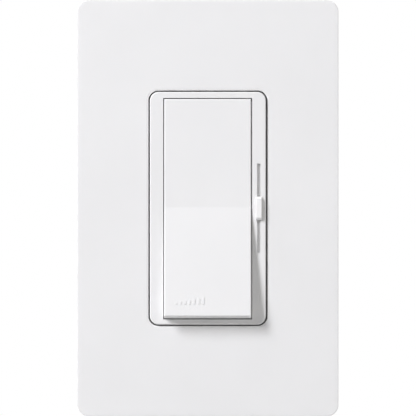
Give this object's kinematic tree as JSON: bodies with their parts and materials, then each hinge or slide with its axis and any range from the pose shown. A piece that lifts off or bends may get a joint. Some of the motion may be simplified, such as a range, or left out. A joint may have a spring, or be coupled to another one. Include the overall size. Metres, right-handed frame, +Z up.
{
  "type": "paddle dimmer switch",
  "caption": "Wall-box dimmer with a tall rocking paddle, a thin slide control in its bezel, an aluminium heat-sink yoke, side screw terminals and a screwless two-piece wall plate.",
  "frame": {"origin": "on the wall plane, midway between the two screws that hold the yoke to the wall box", "axes": "+X to the right and +Z up as the user sees the switch on the wall, +Y into the wall, so the paddle faces -Y"},
  "size_m": [0.0746, 0.0428, 0.119],
  "materials": {
    "cover_white": "satin white moulded polycarbonate",
    "adapter_white": "white moulded plastic, hidden when fitted",
    "bezel_white": "satin white moulded plastic",
    "paddle_white": "satin white moulded plastic",
    "knob_white": "smooth white moulded plastic",
    "carriage_white": "white acetal",
    "plunger_nylon": "natural nylon",
    "spring_steel": "drawn spring wire",
    "yoke_aluminium": "stamped mill-finish aluminium",
    "zinc_steel": "bright zinc plated steel",
    "retainer_fibre": "vulcanised fibre",
    "ground_green": "green plated steel",
    "pot_steel": "tin plated sheet steel",
    "pot_laminate": "phenolic laminate",
    "carbon_track": "printed carbon film",
    "lever_black": "black acetal",
    "contact_silver": "silver alloy",
    "blade_copper": "rolled copper alloy",
    "brass": "stamped and turned brass",
    "black_oxide": "black oxide steel",
    "switch_grey": "grey thermoset",
    "board_laminate": "green solder mask on laminate",
    "capacitor_blue": "epoxy dipped film capacitor",
    "capacitor_red": "epoxy dipped film capacitor",
    "resistor_tan": "lacquered ceramic with tinned leads",
    "diac_blue": "lacquered glass with tinned leads",
    "epoxy_black": "moulded epoxy",
    "tinned_copper": "tinned copper",
    "insulator_clear": "polyimide film",
    "rivet_aluminium": "aluminium",
    "core_yellow": "epoxy coated iron powder",
    "enamelled_copper": "enamelled copper wire",
    "case_black": "black glass-filled thermoplastic"
  },
  "bodies": {
    "device": {"cover_plate": "cover_white", "adapter_plate": "adapter_white", "adapter_screws": "zinc_steel", "yoke_heatsink": "yoke_aluminium", "mounting_screws": "zinc_steel", "screw_retainers": "retainer_fibre", "case_screws": "zinc_steel", "ground_screw": "ground_green", "bezel_frame": "bezel_white", "pot_cover": "pot_steel", "pot_base": "pot_laminate", "pot_track": "carbon_track", "fixed_contacts": "contact_silver", "fulcrum_bracket": "brass", "switch_base": "switch_grey", "upper_traveller_strip": "brass", "lower_traveller_strip": "brass", "common_terminal": "brass", "clamp_plates": "zinc_steel", "traveller_screws": "brass", "common_screw": "black_oxide", "circuit_board": "board_laminate", "film_capacitor": "capacitor_blue", "timing_capacitor": "capacitor_red", "resistors": "resistor_tan", "diac": "diac_blue", "triac_package": "epoxy_black", "triac_metal": "tinned_copper", "triac_insulator": "insulator_clear", "triac_rivet": "rivet_aluminium", "choke_core": "core_yellow", "choke_winding": "enamelled_copper", "choke_leads": "tinned_copper", "back_case": "case_black"},
    "paddle": {"rocker_paddle": "paddle_white", "plunger": "plunger_nylon", "plunger_spring": "spring_steel"},
    "contact_rocker": {"contact_blade": "blade_copper", "moving_contacts": "contact_silver"},
    "slider": {"slider_knob": "knob_white", "slider_carriage": "carriage_white", "pot_lever": "lever_black", "wiper_contacts": "contact_silver"}
  },
  "joints": [
    {"name": "paddle_rock", "type": "hinge", "parent": "device", "child": "paddle", "pos_m": [0, -0.0044, 0], "axis": [1, 0, 0], "range_deg": [0, 7.2]},
    {"name": "contact_tilt", "type": "hinge", "parent": "device", "child": "contact_rocker", "pos_m": [0, 0.0062, 0], "axis": [1, 0, 0], "range_deg": [-10, 0]},
    {"name": "dimmer_slide", "type": "slide", "parent": "device", "child": "slider", "axis": [0, 0, 1], "range_m": [-0.0096, 0.0096]}
  ],
  "couplings": [
    {"joint": "contact_tilt", "follows": "paddle_rock", "ratio": -1.3888}
  ]
}
